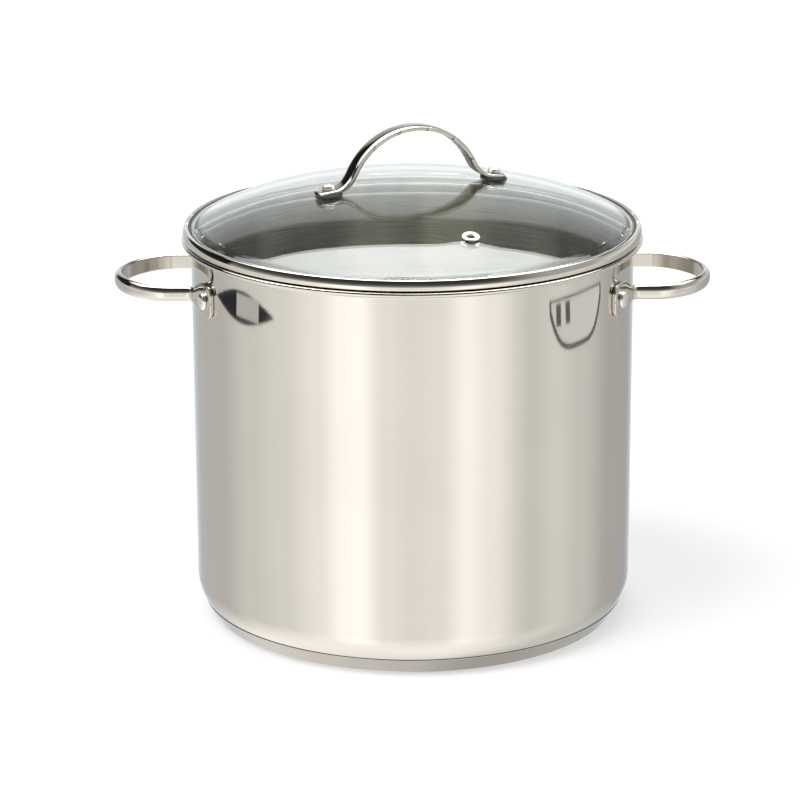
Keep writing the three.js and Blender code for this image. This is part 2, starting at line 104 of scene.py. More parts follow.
def supported(points, closed=False, longest=1.5):
    """Adds a point near each end of a long straight stretch, so that it is shaded as straight."""
    out = []
    ends = list(zip(points, points[1:])) + ([(points[-1], points[0])] if closed else [])
    for (r0, z0), (r1, z1) in ends:
        out.append((r0, z0))
        length = math.hypot(r1 - r0, z1 - z0)
        if length > longest:
            for part in (SUPPORT / length, 1 - SUPPORT / length):
                out.append((lerp(r0, r1, part), lerp(z0, z1, part)))
    return out if closed else [*out, points[-1]]


def rounded(corners, closed=False, steps=4):
    """A profile from (r, z, radius) corners, with each corner rounded to its radius."""
    count = len(corners)
    out = []
    for i, corner in enumerate(corners):
        r, z = corner[:2]
        radius = corner[2] if len(corner) > 2 else 0.0
        at_end = not closed and i in (0, count - 1)
        if at_end or radius <= 0:
            out.append((r, z))
            continue
        here = Vector((r, z))
        before = Vector(corners[i - 1][:2]) - here
        after = Vector(corners[(i + 1) % count][:2]) - here
        half = before.angle(after) / 2
        reach = min(radius / math.tan(half), before.length * 0.49, after.length * 0.49)
        radius = reach * math.tan(half)
        middle = (before.normalized() + after.normalized()).normalized()
        centre = here + middle * (radius / math.sin(half))
        first = here + before.normalized() * reach - centre
        last = here + after.normalized() * reach - centre
        turn = first.angle_signed(last)
        for k in range(steps + 1):
            a = -turn * k / steps
            x = first.x * math.cos(a) - first.y * math.sin(a)
            y = first.x * math.sin(a) + first.y * math.cos(a)
            out.append((centre.x + x, centre.y + y))
    return supported(out, closed)


def new_piece(name, verts, faces):
    mesh = bpy.data.meshes.new(name)
    mesh.from_pydata([Vector(v) * MM for v in verts], [], faces)
    mesh.polygons.foreach_set("use_smooth", [True] * len(mesh.polygons))
    mesh.update()
    piece = bpy.data.objects.new(name, mesh)
    bpy.context.scene.collection.objects.link(piece)
    return piece


def turned(name, profile, segments=AROUND, place=None, closed=False):
    """A solid of revolution about Z. An open profile starts and ends on the axis."""
    verts, faces, rows = [], [], []
    for r, z in profile:
        if r < 1e-6:
            rows.append([len(verts)] * segments)
            verts.append((0.0, 0.0, z))
            continue
        rows.append(list(range(len(verts), len(verts) + segments)))
        for k in range(segments):
            angle = 2 * math.pi * k / segments
            verts.append((r * math.cos(angle), r * math.sin(angle), z))
    pairs = list(zip(rows, rows[1:])) + ([(rows[-1], rows[0])] if closed else [])
    for low, high in pairs:
        for k in range(segments):
            n = (k + 1) % segments
            ring = [low[k], low[n], high[n], high[k]]
            face = [v for i, v in enumerate(ring) if v not in ring[:i]]
            if len(face) > 2:
                faces.append(face)
    if place is not None:
        verts = [place @ Vector(v) for v in verts]
    return new_piece(name, verts, faces)


def loft(name, rings):
    """A solid through a row of closed rings of points, with both ends closed by a fan."""
    count = len(rings[0])
    verts = [p for ring in rings for p in ring]
    faces = []
    for i in range(len(rings) - 1):
        for j in range(count):
            n = (j + 1) % count
            faces.append((i * count + j, i * count + n, (i + 1) * count + n, (i + 1) * count + j))
    last = (len(rings) - 1) * count
    for start, flip in ((0, True), (last, False)):
        middle = sum((Vector(verts[start + j]) for j in range(count)), Vector()) / count
        verts.append(middle)
        centre = len(verts) - 1
        for j in range(count):
            a, b = start + j, start + (j + 1) % count
            faces.append((b, a, centre) if flip else (a, b, centre))
    return new_piece(name, verts, faces)


def drill(piece, bars):
    """Cuts round holes. Each bar is (matrix to its middle, radius, length)."""
    for matrix, radius, length in bars:
        bar = turned(
            "drill",
            [(0, -length / 2), (radius, -length / 2), (radius, length / 2), (0, length / 2)],
            64,
            matrix,
        )
        cut = piece.modifiers.new("cut", "BOOLEAN")
        cut.operation, cut.object, cut.solver = "DIFFERENCE", bar, "EXACT"
        made = bpy.data.meshes.new_from_object(
            piece.evaluated_get(bpy.context.evaluated_depsgraph_get())
        )
        piece.modifiers.clear()
        old, piece.data = piece.data, made
        bpy.data.meshes.remove(old)
        bpy.data.objects.remove(bar)
    return piece


def sharpen(piece, degrees=32):
    """Keeps hard edges crisp where two smooth faces meet at more than this angle."""
    piece.data.set_sharp_from_angle(angle=math.radians(degrees))
    return piece


# ---- Materials --------------------------------------------------------------------------------


class Nodes:
    """A material's node tree with a Principled shader on its output."""

    def __init__(self, name, color, **sockets):
        self.material = bpy.data.materials.new(name)
        self.material.use_nodes = True
        self.tree = self.material.node_tree
        self.tree.nodes.clear()
        self.output = self.add("ShaderNodeOutputMaterial")
        self.shader = self.add("ShaderNodeBsdfPrincipled")
        self.shader.inputs["Base Color"].default_value = (*color, 1)
        for socket, value in sockets.items():
            self.shader.inputs[socket.replace("_", " ")].default_value = value
        self.link(self.shader.outputs["BSDF"], self.output.inputs["Surface"])
        self.coords = self.add("ShaderNodeTexCoord").outputs["Object"]

    def add(self, kind, **settings):
        node = self.tree.nodes.new(kind)
        for key, value in settings.items():
            setattr(node, key, value)
        return node

    def link(self, source, target):
        self.tree.links.new(source, target)

    def noise(self, scale, detail=3.0, stretch=(1, 1, 1), distortion=0.0):
        mapping = self.add("ShaderNodeMapping")
        mapping.inputs["Scale"].default_value = stretch
        self.link(self.coords, mapping.inputs["Vector"])
        noise = self.add("ShaderNodeTexNoise")
        noise.inputs["Scale"].default_value = scale
        noise.inputs["Detail"].default_value = detail
        noise.inputs["Distortion"].default_value = distortion
        self.link(mapping.outputs["Vector"], noise.inputs["Vector"])
        return noise.outputs["Fac"]

    def span(self, value, low, high, start=0.3, end=0.7):
        """Maps a texture's usual range onto low to high."""
        node = self.add("ShaderNodeMapRange")
        node.inputs["From Min"].default_value = start
        node.inputs["From Max"].default_value = end
        node.inputs["To Min"].default_value = low
        node.inputs["To Max"].default_value = high
        self.link(value, node.inputs["Value"])
        return node.outputs["Result"]

    def total(self, *values):
        sum_so_far = values[0]
        for value in values[1:]:
            node = self.add("ShaderNodeMath", operation="ADD")
            self.link(sum_so_far, node.inputs[0])
            self.link(value, node.inputs[1])
            sum_so_far = node.outputs[0]
        return sum_so_far

    def mix_colors(self, factor, first, second):
        node = self.add("ShaderNodeMix", data_type="RGBA")
        self.link(factor, node.inputs["Factor"])
        for socket in (s for s in node.inputs if s.type == "RGBA"):
            socket.default_value = (*(first if socket.name == "A" else second), 1)
        result = [s for s in node.outputs if s.type == "RGBA"][0]
        self.link(result, self.shader.inputs["Base Color"])

    def bump(self, height, strength, distance_mm):
        node = self.add("ShaderNodeBump")
        node.inputs["Strength"].default_value = strength
        node.inputs["Distance"].default_value = distance_mm * MM
        self.link(height, node.inputs["Height"])
        self.link(node.outputs["Normal"], self.shader.inputs["Normal"])

    def tangent_round_z(self):
        tangent = self.add("ShaderNodeTangent", direction_type="RADIAL", axis="Z")
        self.link(tangent.outputs["Tangent"], self.shader.inputs["Tangent"])


def lathed_steel(name, light, dark, rough, ridge_mm, spread=0.0, painted_reflection_bands=0.0):
    """Steel finished round and round, with fine level ridges.

    The spread is its up and down haze. Its upright bands are painted reflection: stripes of lighter and
    darker colour that stand in for bright and dark surroundings seen in the steel.
    """
    m = Nodes(name, light, Metallic=1.0, Anisotropic=spread, Anisotropic_Rotation=0.25)
    m.tangent_round_z()
    scratches = m.noise(1.0, 3.0, (30, 30, 2600))
    ridges = m.noise(1.0, 2.0, (26, 26, 1300))
    swells = m.noise(1.0, 1.0, (3, 3, 60))
    blotches = m.noise(9.0, 4.0, (1, 1, 1.6), 0.4)
    m.link(m.span(scratches, rough, rough * 1.6, 0.45, 0.8), m.shader.inputs["Roughness"])
    # Blotches and scratches are the finish's own uneven tone; the upright bands added to them are painted
    # reflection.
    finish_and_painted_bands = m.total(blotches, scratches, m.span(m.noise(1.0, 2.0, (17, 17, 0.6)), -painted_reflection_bands, painted_reflection_bands))
    m.mix_colors(m.span(finish_and_painted_bands, 0, 1, 0.7, 1.3), light, dark)
    m.bump(m.total(m.span(ridges, 0, 1, 0, 1), m.span(swells, 0, 3, 0, 1)), 1.0, ridge_mm)
    return m.material


def polished_steel(name, light, dark, rough):
    """Formed and polished steel, with faint draw marks and handling haze."""
    m = Nodes(name, light, Metallic=1.0)
    haze = m.noise(60.0, 4.0)
    grain = m.noise(1400.0, 3.0)
    m.link(
        m.total(m.span(haze, rough * 0.75, rough * 1.25), m.span(grain, -0.015, 0.015)),
        m.shader.inputs["Roughness"],
    )
    m.mix_colors(m.span(haze, 0, 1), light, dark)
    m.bump(m.total(haze, grain), 0.06, 0.04)
    return m.material


def clear_glass(name):
    """Tempered glass, with a trace of haze and the slight waviness of pressed glass."""
    m = Nodes(name, (0.93, 0.965, 0.95), Transmission_Weight=1.0, IOR=1.5)
    smudges = m.noise(28.0, 5.0, (1, 1, 1), 0.6)
    waves = m.noise(11.0, 1.0)
    m.link(m.span(smudges, 0.0, 0.015, 0.35, 0.8), m.shader.inputs["Roughness"])
    m.bump(waves, 0.005, 0.1)
    clear = m.add("ShaderNodeBsdfTransparent")
    clear.inputs["Color"].default_value = (0.9, 0.94, 0.92, 1)
    rays = m.add("ShaderNodeLightPath")
    choice = m.add("ShaderNodeMixShader")
    m.link(rays.outputs["Is Shadow Ray"], choice.inputs["Fac"])
    m.link(m.shader.outputs["BSDF"], choice.inputs[1])
    m.link(clear.outputs["BSDF"], choice.inputs[2])
    m.link(choice.outputs["Shader"], m.output.inputs["Surface"])
    return m.material


def silicone(name):
    m = Nodes(name, (0.06, 0.065, 0.06), Specular_IOR_Level=0.4)
    dust = m.noise(180.0, 4.0)
    mould = m.noise(900.0, 2.0)
    m.link(m.span(dust, 0.55, 0.75), m.shader.inputs["Roughness"])
    m.mix_colors(m.span(dust, 0, 1), (0.05, 0.055, 0.05), (0.09, 0.095, 0.088))
    m.bump(mould, 0.2, 0.04)
    return m.material


def cast_aluminium(name):
    m = Nodes(name, (0.6, 0.61, 0.62), Metallic=1.0)
    cast = m.noise(500.0, 4.0)
    m.link(m.span(cast, 0.5, 0.7), m.shader.inputs["Roughness"])
    m.bump(cast, 0.3, 0.05)
    return m.material


WALL = lathed_steel("brushed_wall", (0.69, 0.655, 0.59), (0.66, 0.625, 0.565), 0.03, 0.0009)
# The inside's dark, brownish colour is painted shade for the gloom inside the pot, and its upright bands
# are painted reflection. Its roughness and brushing are its own.
INSIDE_PAINTED_SHADE = lathed_steel(
    "brushed_inside", (0.46, 0.43, 0.35), (0.13, 0.12, 0.09), 0.3, 0.006, spread=0.92, painted_reflection_bands=0.45
)
RIM = lathed_steel("rim_steel", (0.72, 0.685, 0.62), (0.69, 0.655, 0.59), 0.05, 0.0008)
POLISHED = polished_steel("polished_steel", (0.68, 0.645, 0.59), (0.62, 0.585, 0.53), 0.12)
# The lid handle is the same polished steel as the side handles, with a darker, browner colour that is
# painted shade.
GRIP_PAINTED_SHADE = polished_steel("grip_steel", (0.53, 0.50, 0.445), (0.48, 0.45, 0.40), 0.12)
# The base cap's darker colour is painted shade for the shadowed floor it reflects. Its satin roughness is
# its own.
BASE_PAINTED_SHADE = lathed_steel("base_steel", (0.47, 0.44, 0.40), (0.42, 0.395, 0.355), 0.16, 0.002)
RIVET = polished_steel("rivet_steel", (0.82, 0.81, 0.78), (0.74, 0.73, 0.70), 0.32)
GLASS = clear_glass("lid_glass")
SILICONE = silicone("silicone")
ALUMINIUM = cast_aluminium("base_core")


def put(piece, body, slot, material, *nodes):
    """Gives a piece its finish and its body, in place of the CAD nodes named last."""
    piece.data.materials.clear()
    piece.data.materials.append(material)
    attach(piece, body)
    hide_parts(*nodes)
    return piece


# ---- Pot --------------------------------------------------------------------------------------

HEEL_TURN = math.acos(1 - (WALL_R - SEAM_R) / HEEL_R)
HEEL_Z = SEAM_Z + HEEL_R * math.sin(HEEL_TURN)
CORNER_R = (SEAM_Z - FLOOR_Z) / (1 - math.sin(HEEL_TURN))
CORNER = (SEAM_R - CORNER_R * math.cos(HEEL_TURN), SEAM_Z + CORNER_R * math.sin(HEEL_TURN))


def heel_curve(inset):
    turn = math.degrees(HEEL_TURN)
    corner = arc(*CORNER, CORNER_R - inset, -90, -turn, 10)
    heel = arc(WALL_R - HEEL_R, HEEL_Z, HEEL_R - inset, -turn, 0, 24)
    return corner + heel[1:]


def shell():
    inner = WALL_R - WALL_T
    neck = LIP_Z - LIP_T
    lip_middle = LIP_R - LIP_T / 2
    flare = [
        (WALL_R, HEEL_Z),
        (WALL_R, neck - 1.3, 1.4),
        (WALL_R + 2.6, neck + 0.1, 1.2),
        (lip_middle, neck),
    ]
    outside = rounded(flare, steps=6)
    lip = arc(lip_middle, LIP_Z - LIP_T / 2, LIP_T / 2, -90, 90, 14)
    mouth = rounded([(lip_middle, LIP_Z), (inner + 0.1, LIP_Z, 1.8), (inner, HEEL_Z)], steps=8)
    profile = [(0, FLOOR_Z), *heel_curve(0), *outside[1:], *lip[1:], *mouth[1:-1]]
    profile += [*reversed(heel_curve(WALL_T)), (0, FLOOR_Z + WALL_T)]
    return turned("shell", supported(profile, longest=5.0))


def base_plate():
    lip_z = SEAM_Z - 0.6
    corners = [
        (0, 0),
        (BASE_R - 1.0, 0, 0.5),
        (BASE_R, 0.7, 0.6),
        (SEAM_R - 0.25, lip_z - 0.6, 0.4),
        (SEAM_R - 0.15, lip_z, 0.2),
        (SEAM_R - 0.75, lip_z - 0.7, 0.1),
        (BASE_R - 1.3, 0.7, 0.3),
        (0, 0.7),
    ]
    return turned("base_plate", rounded(corners))


def line_inside(pot):
    """Gives the faces inside the pot their own, duller finish, whose dark colour is painted shade and
    whose upright bands are painted reflection.
    """
    pot.data.materials.append(INSIDE_PAINTED_SHADE)
    for face in pot.data.polygons:
        middle, way = face.center / MM, face.normal
        inward = middle.x * way.x + middle.y * way.y < 0 or way.z > 0.7
        if inward and math.hypot(middle.x, middle.y) < WALL_R - WALL_T / 2:
            face.material_index = 1


pot_shell = put(shell(), "pot", "brushed_wall", WALL, "pot_body")
line_inside(pot_shell)
put(base_plate(), "pot", "satin_steel", BASE_PAINTED_SHADE, "base_cap")
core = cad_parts["base_core"]
core.data.materials.clear()
core.data.materials.append(ALUMINIUM)


# ---- Side handles -----------------------------------------------------------------------------


def half_handle_path():
    """The inside face of half of the right handle, from above: (x, y, heading, run) stations."""
    face_r = WALL_R + GAP
    pivot_r = face_r + ELBOW_R
    elbow = math.asin((-LEG_Y - ELBOW_R) / pivot_r)
    foot_end = -RIVET_ANGLE - FOOT_END / face_r
    stations = []

    def add(x, y, heading):
        run = 0.0
        if stations:
            last = stations[-1]
            run = last[3] + math.hypot(x - last[0], y - last[1])
        stations.append((x, y, heading, run))

    foot_length = face_r * (elbow - foot_end)
    runs = [FOOT_CORNER * (1 - math.cos(math.radians(9 * k))) for k in range(11)]
    runs += [lerp(FOOT_CORNER, foot_length, k / 14) for k in range(1, 14)]
    for run in runs:
        angle = foot_end + run / face_r
        add(face_r * math.cos(angle), face_r * math.sin(angle), angle + math.pi / 2)
    pivot = (pivot_r * math.cos(elbow), pivot_r * math.sin(elbow))
    for k in range(15):
        heading = lerp(elbow + math.pi / 2, 0, k / 14)
        add(pivot[0] - ELBOW_R * math.sin(heading), pivot[1] + ELBOW_R * math.cos(heading), heading)
    length_x = LOOP_TIP_X - LOOP_START_X
    for k in range(45):
        t = math.pi / 2 * (1 - k / 44)
        c, s = max(math.cos(t), 0.0), max(math.sin(t), 0.0)
        x = LOOP_START_X + length_x * c ** (2 / LOOP_POWER)
        y = -LEG_Y * s ** (2 / LOOP_POWER)
        normal_x = c ** (2 - 2 / LOOP_POWER) / length_x
        normal_y = s ** (2 - 2 / LOOP_POWER) / LEG_Y
        add(x, y, math.atan2(normal_x, normal_y))
    return stations, foot_length


def strap_section(edge, thickness, half, steps=18, corner=0.8):
    """(depth, height) points of a strap: flat inside with soft corners, crowned outside."""
    points = []
    corner = min(corner, half * 0.4)
    for k in range(5):
        a = math.radians(90 * k / 4)
        points.append((edge * (1 - math.cos(a)) * 0.9, half - corner + corner * math.sin(a)))
    for k in range(1, steps):
        a = math.pi * (0.5 - k / steps)
        c, s = math.cos(a), math.sin(a)
        crown = abs(c) ** 0.9
        points.append((edge * 0.9 + (thickness - edge * 0.9) * crown, half * s))
    for k in range(5):
        a = math.radians(90 * (1 - k / 4))
        points.append((edge * (1 - math.cos(a)) * 0.9, -half + corner - corner * math.sin(a)))
    flat = half - corner
    return points + [(0.0, -flat * 0.9), (0.0, flat * 0.9)]


def side_handle(name, turn):
    stations, foot_length = half_handle_path()
    whole = stations[-1][3]
    rings = []
    for x, y, heading, run in stations:
        bend = smoothstep(run, foot_length * 0.55, foot_length * 1.15)
        loop = smoothstep(run, foot_length * 1.2, whole)
        neck = smoothstep(run, foot_length * 0.53, foot_length * 1.32)
        thickness = lerp(FOOT_T, lerp(4.2, STRAP_T - 0.16, loop), bend)
        edge = lerp(FOOT_T - 0.7, 1.4, bend)
        broad = lerp(FOOT_HALF, LEG_HALF, neck)
        rounding = 0.4 + 0.6 * math.sqrt(1 - (1 - min(run / FOOT_CORNER, 1)) ** 2)
        half = lerp(broad, TIP_HALF, loop) * rounding
        middle = lerp(FOOT_Z, HANDLE_Z, neck)
        out = (math.sin(heading), -math.cos(heading))
        ring = [
            Vector((x + out[0] * depth, y + out[1] * depth, middle + height))
            for depth, height in strap_section(edge, thickness, half)
        ]
        rings.append(ring)
    far = [[Vector((p.x, -p.y, p.z)) for p in ring] for ring in reversed(rings[:-1])]
    handle = loft(name, rings + far)
    handle.data.transform(Matrix.Rotation(turn, 4, "Z"))
    return sharpen(handle, 50)


put(side_handle("right_loop", 0), "pot", "polished_steel", POLISHED, "right_handle")
put(side_handle("left_loop", math.pi), "pot", "polished_steel", POLISHED, "left_handle")


def side_rivet(name, angle):
    seat = WALL_R + GAP + FOOT_T + 0.1
    inner = WALL_R - WALL_T - 0.1
    corners = [
        (0, inner - 2.2),
        (3.0, inner - 2.0, 1.5),
        (5.0, inner - 1.0, 1.0),
        (SIDE_TAIL_R, inner, 0.2),
        (SIDE_SHANK_R, inner),
        (SIDE_SHANK_R, seat),
        (SIDE_HEAD_R, seat, 0.15),
        (SIDE_HEAD_R, seat + 0.9, 0.4),
        (4.7, seat + 2.0, 1.2),
        (2.8, seat + 2.7, 2.0),
        (0, seat + 2.9),
    ]
    place = (
        Matrix.Rotation(angle, 4, "Z")
        @ Matrix.Translation((0, 0, FOOT_Z))
        @ Matrix.Rotation(math.pi / 2, 4, "Y")
    )
    return sharpen(turned(name, rounded(corners, steps=5), 48, place), 40)


for side, middle in (("right", 0.0), ("left", math.pi)):
    for end, turn in (("front", -RIVET_ANGLE), ("back", RIVET_ANGLE)):
        angle = middle + (turn if side == "right" else -turn)
        rivet = side_rivet(f"{side}_{end}_rivet_head", angle)
        put(rivet, "pot", "polished_steel", RIVET, f"{side}_{end}_rivet")


# ---- Lid --------------------------------------------------------------------------------------


def dome_z(r):
    return DOME_TOP - DOME_A * r**2 - DOME_B * r**4


def dome_slope(r):
    return 2 * DOME_A * r + 4 * DOME_B * r**3


def dome_curve(depth, to_r, steps):
    points = []
    for k in range(steps + 1):
        r = to_r * k / steps
        slope = dome_slope(r)
        length = math.hypot(1, slope)
        points.append((r - depth * slope / length, dome_z(r) - depth / length))
    return points


def on_dome(r, angle):
    """Places a fitting made about the origin square onto the glass."""
    tilt = math.atan(dome_slope(r))
    return (
        Matrix.Rotation(angle, 4, "Z")
        @ Matrix.Translation((r, 0, dome_z(r)))
        @ Matrix.Rotation(tilt, 4, "Y")
    )


VENT = on_dome(VENT_R, VENT_ANGLE)
FOOT_TILT = math.atan(dome_slope(GRIP_RIVET))


def at_rivet(side):
    """Square to a foot of the lid handle, from the middle of its underside. Side is -1 or 1."""
    return (
        Matrix.Rotation(GRIP_TURN, 4, "Z")
        @ Matrix.Translation((side * GRIP_RIVET, 0, GRIP_FOOT_Z))
        @ Matrix.Rotation(side * FOOT_TILT, 4, "Y")
    )


def glass():
    foot = CHANNEL_Z + 1.8
    under = dome_curve(GLASS_T, 137.5, 60)
    over = dome_curve(0, 137.8, 60)
    corners = [
        under[-2],
        (136.6, foot, 0.6),
        (GLASS_R, foot, 1.0),
        (GLASS_R, dome_z(GLASS_R) - 0.5, 0.9),
        over[-1],
    ]
    edge = rounded(corners, steps=6)
    piece = turned("glass_dome", under[:-2] + edge + over[-2::-1])
    vent = VENT.translation
    for vertex in piece.data.vertices:
        away = math.hypot(vertex.co.x / MM - vent.x, vertex.co.y / MM - vent.y)
        vertex.co.z += BOSS_H * math.exp(-((away / BOSS_R) ** 2)) * MM
    bars = [(at_rivet(side), GLASS_HOLE_R, 40) for side in (-1, 1)]
    return drill(piece, bars + [(VENT, VENT_HOLE_R, 30)])


def band():
    foot = BAND_FOOT_Z
    wall_in = GLASS_R + 1.6
    arched = []  # a slow curve up the outside, then a tight one at the top
    slow, tight, change = 9.5, 0.9, 30
    for k in range(13):
        a = math.radians(change * k / 12)
        arched.append((BAND_R - slow * (1 - math.cos(a)), foot + 1.9 + slow * math.sin(a)))
    centre_r = arched[-1][0] - tight * math.cos(math.radians(change))
    centre_z = arched[-1][1] - tight * math.sin(math.radians(change))
    for k in range(1, 9):
        a = math.radians(change + (90 - change) * k / 8)
        arched.append((centre_r + tight * math.cos(a), centre_z + tight * math.sin(a)))
    corners = [
        (SKIRT_R - 1.0, SKIRT_Z + 0.5, 0.3),
        (SKIRT_R - 0.5, SKIRT_Z, 0.3),
        (SKIRT_R, SKIRT_Z + 0.5, 0.3),
        (SKIRT_R, foot + 0.4, 0.6),
        (BAND_R - 1.4, foot + 0.1, 0.5),
        (BAND_R - 0.25, foot + 1.0, 0.8),
        *arched,
        (wall_in, foot + 6.6, 0.35),
        (wall_in, CHANNEL_Z, 0.3),
        (SKIRT_R - 1.0, CHANNEL_Z, 0.3),
    ]
    return sharpen(turned("rim_band", rounded(corners, True, 6), closed=True), 40)


def seal():
    side_in, side_out = GLASS_R + GAP, GLASS_R + 1.4
    floor = CHANNEL_Z + GAP
    corners = [
        (SKIRT_R - 0.8, floor, 0.2),
        (side_out, floor, 0.2),
        (side_out, BAND_FOOT_Z + 6.2, 0.3),
        (side_in, BAND_FOOT_Z + 6.2, 0.3),
        (side_in, floor + 1.2, 0.3),
        (SKIRT_R - 0.8, floor + 1.2, 0.2),
    ]
    return turned("seal_ring", rounded(corners, True, 3), closed=True)


put(glass(), "lid", "lid_glass", GLASS, "lid_glass")
put(band(), "lid", "satin_steel", RIM, "lid_rim")
put(seal(), "lid", "silicone", SILICONE, "rim_seal")


def eyelet():
    corners = [
        (VENT_BORE_R, -6.5, 0.1),
        (4.2, -6.5, 0.3),
        (4.6, -6.0, 0.2),
        (3.2, -5.8, 0.2),
        (3.2, 0.95, 0.1),
        (5.4, 0.95, 0.3),
        (5.75, 1.45, 0.4),
        (4.9, 2.1, 0.8),
        (3.3, 2.0, 0.6),
        (VENT_BORE_R, 1.2, 0.7),
    ]
    return turned("vent_ring", rounded(corners, True, 5), 64, VENT, closed=True)


def vent_grommet():
    low, seat, high = -3.6, 0.45, 0.85
    corners = [
        (3.5, low),
        (4.1, low, 0.2),
        (4.1, seat, 0.1),
        (5.0, seat, 0.1),
        (5.0, high, 0.1),
        (3.5, high),
    ]
    return turned("vent_gasket", rounded(corners, True, 3), 64, VENT, closed=True)


def vent_washer():
    corners = [(3.5, -5.5, 0.1), (5.8, -5.5, 0.3), (5.8, -4.6, 0.3), (3.5, -4.6, 0.1)]
    return turned("vent_backing", rounded(corners, True, 3), 64, VENT, closed=True)


put(eyelet(), "lid", "polished_steel", RIVET, "vent_eyelet")
put(vent_grommet(), "lid", "silicone", SILICONE, "vent_grommet")
put(vent_washer(), "lid", "satin_steel", RIM, "vent_washer")


# ---- Lid handle -------------------------------------------------------------------------------


def half_grip_path():
    """The underside of half of the strap, in its own plane: (x, z, tilt, foot) stations."""
    stations = []
    centre = GRIP_TOP - GRIP_R
    for k in range(31):
        tilt = ARCH_END * k / 30
        stations.append((GRIP_R * math.sin(tilt), centre + GRIP_R * math.cos(tilt), tilt, 0.0))
    x0, z0 = stations[-1][:2]
    bend = 16.0
    slope = math.tan(FOOT_TILT)
    bend_x = bend * (math.sin(ARCH_END) - math.sin(FOOT_TILT))
    bend_z = bend * (math.cos(FOOT_TILT) - math.cos(ARCH_END))
    to_foot = z0 - bend_z - GRIP_FOOT_Z + (x0 + bend_x - GRIP_RIVET) * slope
    straight = to_foot / (math.sin(ARCH_END) - math.cos(ARCH_END) * slope)
    for k in range(1, 4):
        along = straight * k / 3
        stations.append((x0 + along * math.cos(ARCH_END), z0 - along * math.sin(ARCH_END), ARCH_END, 0.0))
    x0, z0 = stations[-1][:2]
    for k in range(1, 15):
        tilt = lerp(ARCH_END, FOOT_TILT, k / 14)
        x = x0 + bend * (math.sin(ARCH_END) - math.sin(tilt))
        z = z0 - bend * (math.cos(tilt) - math.cos(ARCH_END))
        stations.append((x, z, tilt, smoothstep(k, 2, 14)))
    x0 = stations[-1][0]
    along = [lerp(x0, GRIP_END - 3.6, k / 4) for k in range(1, 5)]
    along += [GRIP_END - 3.6 * (1 - math.sin(math.radians(9 * k))) for k in range(1, 11)]
    for x in along:
        stations.append((x, GRIP_FOOT_Z - (x - GRIP_RIVET) * slope, FOOT_TILT, 1.0))
    return stations


def grip_section(edge, thickness, half):
    """(depth, side) points of the lid handle's strap: nearly flat faces and soft edges."""
    corners = [
        (0, half - 0.1, 0.35),
        (edge, half, 0.8),
        (thickness - 0.08, half * 0.6, 2.0),
        (thickness, 0, 4.0),
        (thickness - 0.08, -half * 0.6, 2.0),
        (edge, -half, 0.8),
        (0, 0.1 - half, 0.35),
    ]
    return rounded(corners, True, 5)


def grip():
    near = []
    for x, z, tilt, foot in half_grip_path():
        thickness = lerp(GRIP_T - 0.1, GRIP_FOOT_T, foot)
        edge = lerp(2.4, GRIP_FOOT_T - 0.5, foot)
        from_end = min((GRIP_END - x) / 3.6, 1)
        rounding = 0.62 + 0.38 * math.sqrt(max(1 - (1 - from_end) ** 2, 0))
        half = GRIP_WIDTH / 2 * rounding
        out = (math.sin(tilt), math.cos(tilt))
        section = grip_section(edge, thickness, half)
        near.append([Vector((x + out[0] * d, side, z + out[1] * d)) for d, side in section])
    far = [[Vector((-p.x, p.y, p.z)) for p in ring] for ring in reversed(near[1:])]
    piece = loft("grip_strap", far + near)
    piece.data.transform(Matrix.Rotation(GRIP_TURN, 4, "Z"))
    return sharpen(piece, 50)


put(grip(), "lid", "polished_steel", GRIP_PAINTED_SHADE, "lid_handle")

# Heights along a rivet, from the underside of its foot.
GLASS_OUT = (dome_z(GRIP_RIVET) - GRIP_FOOT_Z) * math.cos(FOOT_TILT)
GLASS_IN = GLASS_OUT - GLASS_T
UNDER_GASKET_FOOT = GLASS_IN - UNDER_GASKET_T
WASHER_TOP = UNDER_GASKET_FOOT - GAP
WASHER_FOOT = WASHER_TOP - WASHER_T


def ring_corners(hole, outside, low, high, low_round, high_round, hole_round=0.0):
    """A plain ring's corners, with the rounding of its outer edges and of its lower inner one."""
    return [
        (hole, low, hole_round),
        (outside, low, low_round),
        (outside, high, high_round),
        (hole, high),
    ]


def foot_gasket(name, place):
    corners = ring_corners(LID_HOLE_R, FOOT_GASKET_R, GLASS_OUT + 0.1, -0.1, 0.2, 0.3)
    return turned(name, rounded(corners, True, 4), 64, place, closed=True)


def under_gasket(name, place):
    low, high = UNDER_GASKET_FOOT, GLASS_IN - 0.1
    corners = ring_corners(LID_HOLE_R, UNDER_GASKET_R, low, high, 0.3, 0.3)
    return turned(name, rounded(corners, True, 4), 64, place, closed=True)


def backing_washer(name, place):
    corners = ring_corners(WASHER_HOLE_R, WASHER_R, WASHER_FOOT, WASHER_TOP, 0.4, 0.1, 0.1)
    return turned(name, rounded(corners, True, 4), 64, place, closed=True)


def lid_rivet(name, place):
    seat = GRIP_FOOT_T + 0.05
    tail = WASHER_FOOT - GAP
    corners = [
        (0, tail - 2.0),
        (3.0, tail - 1.7, 1.2),
        (4.2, tail - 0.8, 0.8),
        (LID_TAIL_R, tail, 0.1),
        (LID_SHANK_R, tail),
        (LID_SHANK_R, seat),
        (LID_HEAD_R, seat, 0.1),
        (LID_HEAD_R, seat + 1.4, 0.8),
        (3.2, seat + 2.5, 1.2),
        (1.8, seat + 3.1, 1.2),
        (0, seat + 3.2),
    ]
    return sharpen(turned(name, rounded(corners, steps=5), 48, place), 40)


